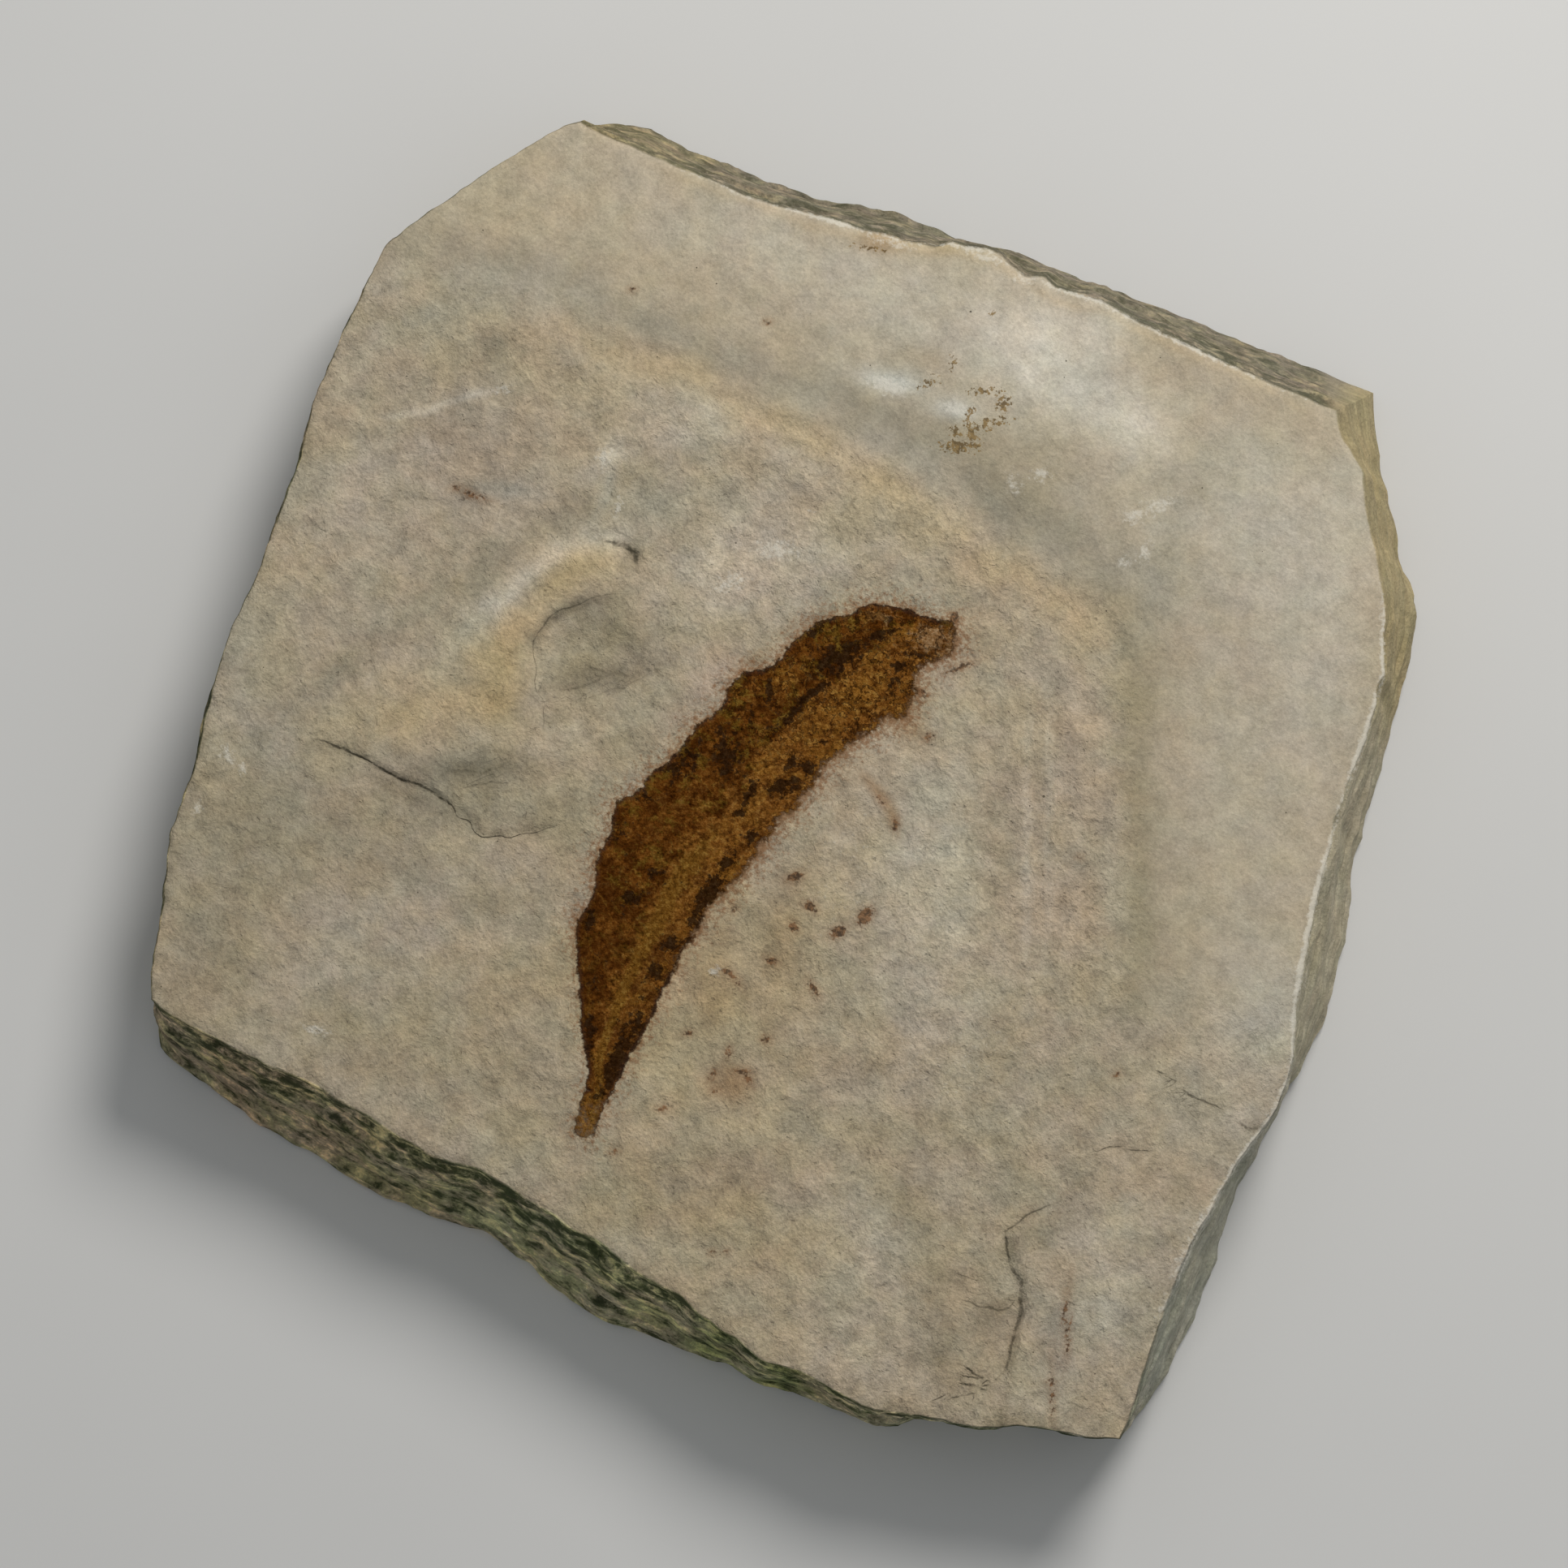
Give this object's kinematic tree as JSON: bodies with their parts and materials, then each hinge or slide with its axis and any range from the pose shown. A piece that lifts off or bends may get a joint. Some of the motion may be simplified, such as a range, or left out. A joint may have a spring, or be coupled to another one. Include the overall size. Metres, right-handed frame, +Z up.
{
  "type": "fossil leaf plate",
  "caption": "Broken slab of pale, thinly bedded shale with a slender, toothed, brown carbonised leaf lying flush in its upper face.",
  "frame": {"origin": "on the ground, under the middle of the slab's box", "axes": "+Z up out of the fossil face, +Y along the slab's longest side towards its back edge, +X to the right seen from above"},
  "size_m": [0.1187, 0.1284, 0.0129],
  "materials": {
    "pale_shale": "matt, fine-grained bedding plane with broken, ledged sides",
    "leaf_carbon": "thin, mottled brown carbonised leaf with a paler midrib"
  },
  "bodies": {
    "root": {"stone_slab": "pale_shale", "leaf_film": "leaf_carbon"}
  },
  "joints": []
}
